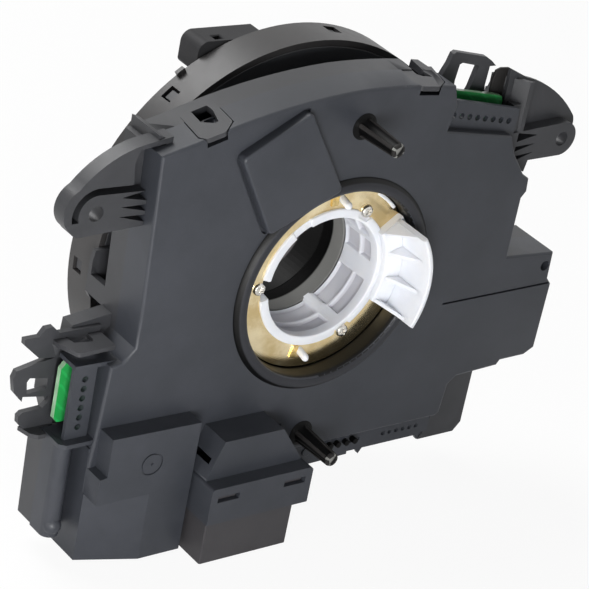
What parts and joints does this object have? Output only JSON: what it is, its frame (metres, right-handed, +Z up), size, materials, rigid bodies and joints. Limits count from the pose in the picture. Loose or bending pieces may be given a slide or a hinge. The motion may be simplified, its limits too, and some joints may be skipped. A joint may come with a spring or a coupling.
{
  "type": "steering clock spring",
  "caption": "Steering clock spring in a black switch housing: white column ring with a curved shield on a polished disc, two screw ears, plug blocks and a ribbon cassette behind",
  "frame": {"origin": "on the steering axis, at the column-side face of the white ring", "axes": "Y along the steering axis towards the steering wheel, X to the right and Z up for someone who looks from the column"},
  "size_m": [0.1869, 0.0657, 0.1415],
  "materials": {
    "cover_plastic": "satin",
    "housing_plastic": "satin",
    "shell_plastic": "satin",
    "ring_plastic": "satin",
    "rotor_plastic": "satin",
    "hub_plastic": "matte",
    "board_green": "gloss",
    "chip_black": "matte",
    "capacitor_metal": "satin",
    "contact_metal": "satin",
    "ribbon_film": "gloss",
    "slide_film": "gloss",
    "screw_steel": "polished",
    "white_nylon": "satin",
    "polished_brass": "polished",
    "spring_gold": "polished"
  },
  "bodies": {
    "housing": {"rear_cover": "cover_plastic", "front_housing": "housing_plastic", "circuit_board": "board_green", "board_processor": "chip_black", "board_capacitors": "capacitor_metal", "upper_guide_pin": "housing_plastic", "lower_guide_pin": "housing_plastic", "left_plug_header": "housing_plastic", "left_plug_pins": "contact_metal", "middle_plug_shell": "shell_plastic", "middle_plug_header": "housing_plastic", "middle_plug_pins": "contact_metal", "cassette_base": "housing_plastic", "cassette_ring": "ring_plastic", "ribbon_cable": "ribbon_film", "cassette_screws": "screw_steel", "case_screws": "screw_steel"},
    "rotor": {"cancel_ring": "white_nylon", "brass_disc": "polished_brass", "disc_screws": "screw_steel", "contact_springs": "spring_gold", "rear_hub": "hub_plastic", "front_rotor": "rotor_plastic", "slide_ring": "slide_film", "wheel_plug_shell": "rotor_plastic", "wheel_plug_pins": "contact_metal"}
  },
  "joints": [
    {"name": "rotor_turn", "type": "hinge", "parent": "housing", "child": "rotor", "pos_m": [0, 0, 0], "axis": [0, 1, 0], "range_deg": [-900, 900]}
  ]
}
